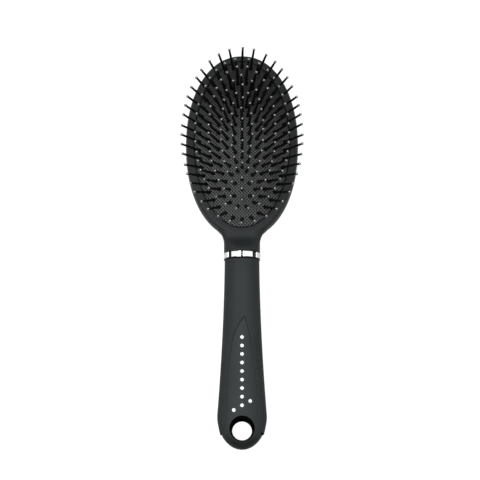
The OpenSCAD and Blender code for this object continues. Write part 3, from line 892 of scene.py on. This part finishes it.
# %% Sums over a surface
class Wire:
    """One output of a shader node. Sums with wires add Math nodes."""

    def __init__(self, nodes, socket):
        self.nodes, self.socket = nodes, socket

    def math(self, operation, *values):
        settings, sockets = {"operation": operation}, dict(enumerate(values))
        return self.nodes.node("ShaderNodeMath", settings, sockets)

    def output(self, which):
        """Another output of the same node."""
        return Wire(self.nodes, self.socket.node.outputs[which])

    def larger(self, other):
        return self.math("MAXIMUM", self, other)

    def __add__(self, other):
        return self.math("ADD", self, other)

    def __sub__(self, other):
        return self.math("SUBTRACT", self, other)

    def __rsub__(self, other):
        return self.math("SUBTRACT", other, self)

    def __mul__(self, other):
        return self.math("MULTIPLY", self, other)

    def __truediv__(self, other):
        return self.math("DIVIDE", self, other)

    def __rtruediv__(self, other):
        return self.math("DIVIDE", other, self)

    __radd__, __rmul__ = __add__, __mul__

    def __abs__(self):
        return self.math("ABSOLUTE", self)

    def __pow__(self, other):
        return self.math("POWER", self, other)


class Nodes:
    """The nodes of a material or of the world."""

    def __init__(self, tree):
        self.tree = tree

    def node(self, kind, settings, sockets, output=0):
        made = self.tree.nodes.new(kind)
        for setting, value in settings.items():
            if setting == "stops":
                self.set_stops(made.color_ramp, value)
            else:
                setattr(made, setting, value)
        for socket, value in sockets.items():
            self.join(value, made.inputs[socket])
        return Wire(self, made.outputs[output])

    def join(self, value, socket):
        if isinstance(value, Wire):
            self.tree.links.new(value.socket, socket)
        else:
            socket.default_value = value

    def set_stops(self, ramp, stops):
        while len(ramp.elements) < len(stops):
            ramp.elements.new(0.5)
        for element, (position, value) in zip(ramp.elements, stops):
            element.position = position
            element.color = (value, value, value, 1)

    def directly_seen(self):
        """1 where a ray comes from the camera or by a mirror, 0 for all other light."""
        camera = self.node("ShaderNodeLightPath", {}, {}, "Is Camera Ray")
        glossy, clear = camera.output("Is Glossy Ray"), camera.output("Is Transmission Ray")
        return camera.larger(glossy).larger(clear)

    def show(self, factor, plain, other):
        """The surface: a plain shader where the factor is 0, the other one where it is 1."""
        surface = self.node("ShaderNodeMixShader", {}, {0: factor, 1: plain, 2: other})
        output = next(n for n in self.tree.nodes if n.type.startswith("OUTPUT"))
        self.join(surface, output.inputs["Surface"])


class Finish(Nodes):
    """One material. Constants go onto the shader's own sockets, wires onto a few of them."""

    def __init__(self, name, color, **constants):
        self.material = bpy.data.materials.new(name)
        self.material.use_nodes = True
        super().__init__(self.material.node_tree)
        self.shader = self.tree.nodes["Principled BSDF"]
        self.plain = Wire(self, self.shader.outputs[0])
        self.material.diffuse_color = (*color, 1)
        self.set("Base Color", (*color, 1))
        for socket, value in constants.items():
            self.set(socket.replace("_", " "), value)

    def place(self):
        return self.node("ShaderNodeTexCoord", {}, {}, "Object")

    def axes(self):
        split = self.node("ShaderNodeSeparateXYZ", {}, {0: self.place()})
        return [split.output(i) for i in range(3)]

    def upward(self):
        """How far the surface faces up: 1 is level, 0 upright."""
        normal = self.node("ShaderNodeNewGeometry", {}, {}, "Normal")
        return self.node("ShaderNodeSeparateXYZ", {}, {0: normal}, 2)

    def noise(self, size_mm, detail=2, roughness=0.5, stretch=(1, 1, 1)):
        """Soft unevenness with spots of a given size, from 0 to 1."""
        sockets = {0: self.place(), 1: stretch}
        scaled = self.node("ShaderNodeVectorMath", {"operation": "MULTIPLY"}, sockets)
        sockets = {"Vector": scaled, "Scale": 1 / (size_mm * MM), "Detail": detail,
                   "Roughness": roughness}
        return self.node("ShaderNodeTexNoise", {}, sockets)

    def ramp(self, value, *stops):
        return self.node("ShaderNodeValToRGB", {"stops": stops}, {0: value})

    def mix(self, factor, first, second):
        """A colour between two others."""
        first, second = [(*c, 1) if isinstance(c, tuple) else c for c in (first, second)]
        sockets = {0: factor, 6: first, 7: second}
        return self.node("ShaderNodeMix", {"data_type": "RGBA"}, sockets, 2)

    def set(self, socket, value):
        self.join(value, self.shader.inputs[socket])

    def color(self, factor, first, second):
        """Mixes the base colour from two others, and gives it back."""
        mixed = self.mix(factor, first, second)
        self.set("Base Color", mixed)
        return mixed

    def bump(self, height, depth_mm, strength=1.0):
        sockets = {"Strength": strength, "Distance": depth_mm * MM, "Height": height}
        self.set("Normal", self.node("ShaderNodeBump", {}, sockets))

    def put_on(self, *things):
        for thing in things:
            thing.data.materials.clear()
            thing.data.materials.append(self.material)


print("finish tools ready")

# %% [markdown]
# ## Moulded plastic and the soft grip
# The head is hard plastic under a soft lacquer that pools a little and holds some dust,
# and the mould's texture breaks up its gloss. The grip is softer and lighter, with a finer
# grain. Colour comes from wide, weak noise and gloss from finer noise, because wear changes
# the gloss more than the colour. A ramp on the way the surface faces darkens the sides in
# the colour: painted shade, since sides turned from the light are darker than one broad lamp makes
# them.

# %% Three plastics
BLACK = (0, 0, 0)


def moulded(name, dark, light, gloss, grain_mm, grain_depth, specular):
    finish = Finish(name, dark, Specular_IOR_Level=specular)
    clouds = finish.noise(14, 3, 0.55)
    specks = finish.ramp(finish.noise(0.55, 1, 0.4), (0.68, 0), (0.8, 1))
    tone = finish.ramp(clouds, (0.3, 0), (0.7, 1))
    # Painted shade: the colour darkens as the surface turns from facing up.
    level = finish.ramp(finish.upward(), (0.35, 0.6), (0.97, 1))
    lacquer = finish.mix(tone * 0.75 + specks * 0.25, dark, light)
    finish.tone = finish.color(level, BLACK, lacquer)
    rubbed = finish.noise(5, 4, 0.6)
    finish.set("Roughness", gloss + rubbed * 0.12 - specks * 0.05)
    grain = finish.noise(grain_mm, 2, 0.6)
    finish.bump(grain + rubbed * 0.2, grain_depth)
    return finish


head_plastic = moulded("head_plastic", (0.0200, 0.0227, 0.0233), (0.0257, 0.0288, 0.0297),
                       gloss=0.46, grain_mm=0.35, grain_depth=0.010, specular=0.1)
# Painted shade along the head: a little darker in a band across the neck, and darker towards the
# far end.
_, y, _ = head_plastic.axes()
along = head_plastic.ramp(y / (HEAD_TOP * MM),
                          (0.02, 1), (0.07, 0.9), (0.15, 1), (0.6, 1), (0.85, 0.74))
head_plastic.color(along, BLACK, head_plastic.tone)
head_plastic.put_on(head_shell, back_shell)
grip_rubber = moulded("grip_rubber", (0.0245, 0.0285, 0.0292), (0.0300, 0.0345, 0.0354),
                      gloss=0.55, grain_mm=0.28, grain_depth=0.012, specular=0.1)
grip_rubber.put_on(sleeve)
core_plastic = moulded("core_plastic", (0.0232, 0.0270, 0.0278), (0.0278, 0.0320, 0.0330),
                       gloss=0.5, grain_mm=0.4, grain_depth=0.008, specular=0.12)
core_plastic.put_on(core)
print("three plastics made")

# %% [markdown]
# No light comes back from the hanging hole or from the gap at the sleeve's end, and a
# shiny black would still mirror the room there. So a second, dead black shader takes over
# in both, and a mask of round spots chooses between the two. The end of the handle, which
# turns away from the lamp, only gets a darker colour.

# %% Shade in the hole, in the gap and towards the end
def spot(finish, middle, half_width, half_length):
    """1 inside an ellipse that is seen from above, 0 outside it."""
    x, y, _ = finish.axes()
    across, up = (x / MM - middle[0]) / half_width, (y / MM - middle[1]) / half_length
    return finish.ramp((across * across + up * up) ** 0.5 / 2, (0.493, 1), (0.507, 0))


def shade_end(finish):
    _, y, z = finish.axes()
    toward_end = finish.ramp((HOLE_Y - y / MM) / (HOLE_Y - HANDLE_END), (0.15, 0), (0.62, 1))
    finish.color(toward_end, finish.tone, (0.0045, 0.0052, 0.0054))
    in_gap = spot(finish, (11.65, GRIP_END + 0.5), 0.6, 1.0)
    in_gap = in_gap * finish.ramp(z / MM / 20, (0.38, 0), (0.42, 1))
    in_hole = spot(finish, (0, HOLE_Y + 0.9), 7.35, 7.35)
    dead_black = finish.node("ShaderNodeBsdfPrincipled", {}, {
        "Base Color": (0.0018, 0.0018, 0.002, 1), "Roughness": 0.7, "Specular IOR Level": 0.0})
    finish.show(in_hole.larger(in_gap), finish.plain, dead_black)


shade_end(core_plastic)
shade_end(grip_rubber)
print("hole, gap and end shaded")

# %% [markdown]
# ## The mesh in the rubber
# The cushion's rubber carries a fine net of diagonal lines, a little over a millimetre
# apart, for which a bump is enough. Two sets of waves, one along each diagonal, give the
# threads, and their crossings stand highest. The hollows are darker, since light reaches
# them less, and so is the end away from the handle, where the pins stand closest.

# %% Cushion rubber
MESH_PITCH = 1.35
rubber = Finish("mesh_rubber", (0.03, 0.032, 0.034), Specular_IOR_Level=0.15)
x, y, _ = rubber.axes()
waves = []
for sign in (1, -1):
    diagonal = (x + y * sign) * (math.pi / (MESH_PITCH * MM * math.sqrt(2)))
    waves.append(abs(diagonal.math("SINE", diagonal)))
thread = 1 - waves[0].math("MINIMUM", waves[0], waves[1])
net = rubber.ramp(thread, (0.4, 0), (0.85, 1))
clouds = rubber.noise(9, 3, 0.6)
toward_top = rubber.ramp((y / MM - CUSHION_Y) / 100, (0, 1), (0.3, 0.3))
light = net * (0.75 + clouds * 0.35) * toward_top
rubber.color(light, (0.001, 0.0011, 0.0012), (0.128, 0.131, 0.135))
rubber.set("Roughness", 0.62 - net * 0.16)
rubber.bump(net + rubber.noise(0.2) * 0.1, 0.14, 0.8)
rubber.put_on(cushion)
print("net pitch", MESH_PITCH, "mm")

# %% [markdown]
# ## Pins, drops, plates and stones
# The pins are black nylon with a soft shine, and their drops glossy grey resin under a
# clear coat. From above each drop shows a small pale picture of the lamp, so the part of
# it that faces straight up carries a light cap. The plates are a metal with faint brushing
# across and a few fine marks. Where a plate turns down, its colour is painted darker, a
# painted reflection of the floor it mirrors.

# %% Small parts
nylon = Finish("pin_nylon", (0.003, 0.003, 0.0033), Specular_IOR_Level=0.12)
nylon.color(nylon.noise(2.5), (0.002, 0.002, 0.0022), (0.0045, 0.0046, 0.0048))
nylon.set("Roughness", 0.38 + nylon.noise(1.2) * 0.14)
nylon.bump(nylon.noise(0.25), 0.004)
nylon.put_on(*pins)

resin = Finish("tip_resin", (0.03, 0.031, 0.033), Coat_Roughness=0.04, IOR=1.5)
cap = resin.ramp(resin.upward(), (0.955, 0), (0.99, 1))
smoke = resin.mix(resin.noise(1.6), (0.018, 0.0185, 0.0195), (0.032, 0.033, 0.0345))
resin.color(cap, smoke, (0.9, 0.905, 0.91))
resin.set("Roughness", 0.16 + resin.noise(0.6) * 0.1)
resin.set("Coat Weight", 0.5 + resin.noise(3, 1, 0.5) * 0.2)
resin.bump(resin.noise(0.5, 1, 0.5), 0.003)
resin.put_on(*tips)

black_gloss = Finish("collar_black", (0.003, 0.003, 0.0033), Specular_IOR_Level=0.15)
black_gloss.color(black_gloss.noise(4), (0.0025, 0.0025, 0.0027), (0.005, 0.005, 0.0054))
black_gloss.set("Roughness", 0.2 + black_gloss.noise(2, 3, 0.6) * 0.16)
black_gloss.bump(black_gloss.noise(0.6), 0.004)
black_gloss.put_on(collar)

plating = Finish("bright_plating", (0.92, 0.925, 0.93), Metallic=1.0)
brushed = plating.noise(0.25, 3, 0.6, stretch=(0.08, 1, 0.08))
marks = plating.ramp(plating.noise(0.8, 3, 0.7, stretch=(1, 0.2, 1)), (0.66, 0), (0.72, 1))
# Painted reflection: where a plate turns down its colour is darker, for the floor it mirrors;
# brushing varies both colours.
front = plating.ramp(plating.upward(), (0.5, 0), (0.82, 1))
polished = plating.mix(brushed * 0.6 + marks * 0.4, (1, 1, 1), (0.93, 0.935, 0.94))
painted_side_reflection = plating.mix(brushed, (0.6, 0.61, 0.62), (0.42, 0.43, 0.44))
plating.color(front, painted_side_reflection, polished)
plating.set("Roughness", 0.1 + brushed * 0.08 + marks * 0.08)
plating.bump(brushed, 0.002)
plating.put_on(plates)

stone = Finish("polished_stone", (0.9, 0.91, 0.92), IOR=1.9, Coat_Roughness=0.02)
sparkle = stone.noise(0.9, 2, 0.6)
stone.color(sparkle, (0.97, 0.975, 0.98), (0.86, 0.88, 0.91))
stone.set("Roughness", 0.05 + sparkle * 0.05)
stone.set("Coat Weight", 0.7 + sparkle * 0.3)
stone.set("Metallic", 0.15 + sparkle * 0.2)
stone.put_on(stones)
print("small parts finished")

# %% [markdown]
# ## Floor, background and light
# The object stands on a pale floor in a white room. The camera, and anything mirrored,
# sees the floor a little brighter than the light makes it, so it goes to white, and a soft
# grey is left where the brush shades it. The light is an even white room and one broad
# lamp overhead, a little to the left, as in the photograph.

# %% Floor
FLOOR_HALF, FLOOR_Z, FLOOR_LIFT = 2.5, -0.0002, 0.76
floor_finish = Finish("floor_pale", (0.7, 0.7, 0.7), Roughness=0.9, Specular_IOR_Level=0.0)
glow = floor_finish.node("ShaderNodeEmission", {}, {"Color": (1, 1, 1, 1), "Strength": 1.25})
floor_finish.show(floor_finish.directly_seen() * FLOOR_LIFT, floor_finish.plain, glow)
floor_mesh = bpy.data.meshes.new("floor")
floor_mesh.from_pydata([(x * FLOOR_HALF, y * FLOOR_HALF, FLOOR_Z)
                        for x, y in ((-1, -1), (1, -1), (1, 1), (-1, 1))], [], [(0, 1, 2, 3)])
floor = add_object("floor", floor_mesh)
floor_finish.put_on(floor)

# %% Room and lamp
ROOM_LIGHT, LAMP_POWER = 0.18, 16.8
LAMP_PLACE, LAMP_AIM, LAMP_SIZE = Vector((-0.15, -0.1, 1.2)), Vector((-0.05, 0, 0)), (1.0, 0.8)
world = bpy.data.worlds.new("room")
bpy.context.scene.world = world
world.use_nodes = True
room = Nodes(world.node_tree)
dim, bright = [room.node("ShaderNodeBackground", {}, {"Color": (1, 1, 1, 1), "Strength": strength})
               for strength in (ROOM_LIGHT, 1.0)]
room.show(room.directly_seen(), dim, bright)
lamp_data = bpy.data.lights.new("overhead", "AREA")
lamp_data.shape, lamp_data.energy = "RECTANGLE", LAMP_POWER
lamp_data.size, lamp_data.size_y = LAMP_SIZE
lamp = add_object("overhead", lamp_data)
lamp.location = LAMP_PLACE
lamp.rotation_mode = "QUATERNION"
lamp.rotation_quaternion = (LAMP_AIM - LAMP_PLACE).to_track_quat("-Z", "Y")
bpy.context.scene.view_settings.view_transform = "Standard"
print("lamp:", LAMP_POWER, "W")
